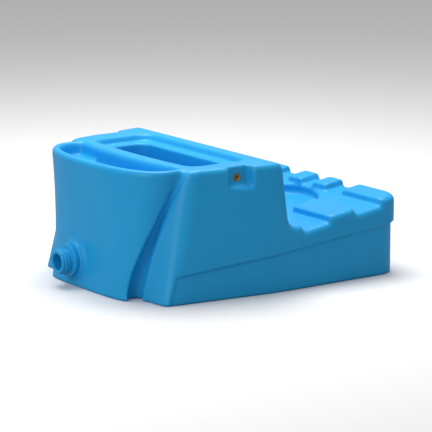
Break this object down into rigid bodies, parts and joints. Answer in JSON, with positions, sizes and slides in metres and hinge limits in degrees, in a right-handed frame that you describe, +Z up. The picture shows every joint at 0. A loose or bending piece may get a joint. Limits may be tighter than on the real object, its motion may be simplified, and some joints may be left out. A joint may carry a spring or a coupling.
{
  "type": "mounting block",
  "caption": "Hollow moulded stable block: tall bow-fronted head with open well and tray, low pitched deck with raised blocks and a round seat, drain spout and side inserts.",
  "frame": {"origin": "middle of the footprint on the ground", "axes": "+X from the bow and spout to the rear of the deck, +Y to the far side, +Z up"},
  "size_m": [0.74, 0.582, 0.3],
  "materials": {
    "shell_plastic": "satin rotomoulded polyethylene with a fine orange-peel skin",
    "insert_brass": "turned brass, slightly dulled",
    "spout_plastic": "satin polyethylene, moulded thread"
  },
  "bodies": {
    "root": {"body_shell": "shell_plastic", "near_insert": "insert_brass", "far_insert": "insert_brass", "drain_spout": "spout_plastic"}
  },
  "joints": []
}
